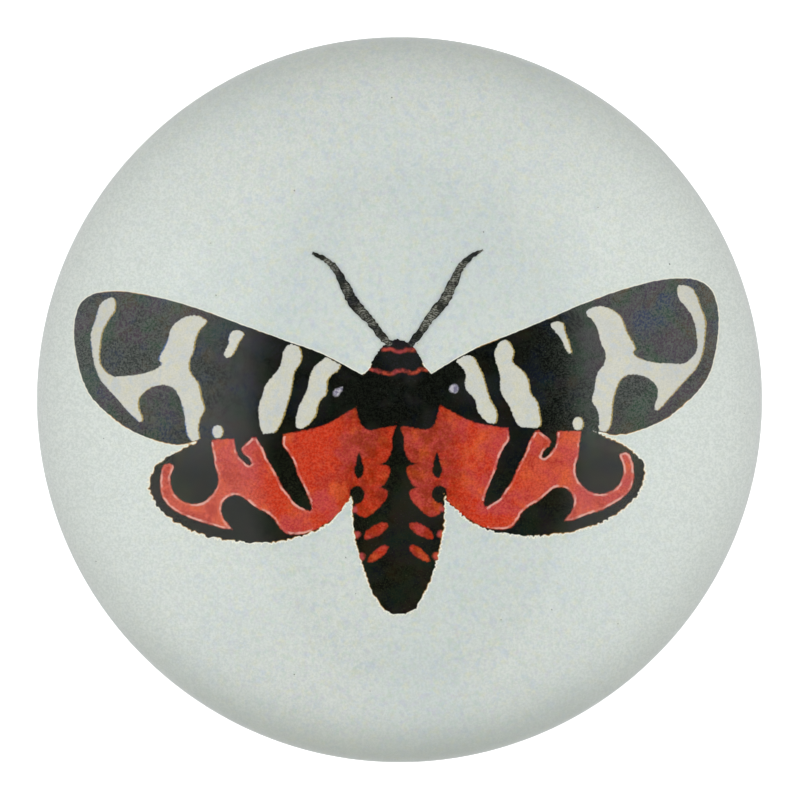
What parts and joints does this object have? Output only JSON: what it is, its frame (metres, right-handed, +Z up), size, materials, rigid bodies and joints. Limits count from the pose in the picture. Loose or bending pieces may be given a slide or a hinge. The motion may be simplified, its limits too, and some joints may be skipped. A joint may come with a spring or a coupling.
{
  "type": "domed glass paperweight with a paper moth under it",
  "caption": "Round solid glass dome paperweight with a flat base, a printed paper moth with spread wings on pale paper seen through the glass, and a felt pad beneath.",
  "frame": {"origin": "middle of the felt pad's underside, where the paperweight rests", "axes": "+Z up through the top of the dome, +Y towards the moth's head, +X towards the wing on the viewer's right"},
  "size_m": [0.089, 0.089, 0.0309],
  "materials": {
    "glass": "clear polished glass with a very faint green cast",
    "moth_print": "black, cream and red print on matt paper",
    "ground_paper": "pale grey-green matt paper with a fine mottled tint",
    "felt": "soft matt felt"
  },
  "bodies": {
    "root": {"glass_dome": "glass", "paper_moth": "moth_print", "ground_paper": "ground_paper", "felt_pad": "felt"}
  },
  "joints": []
}
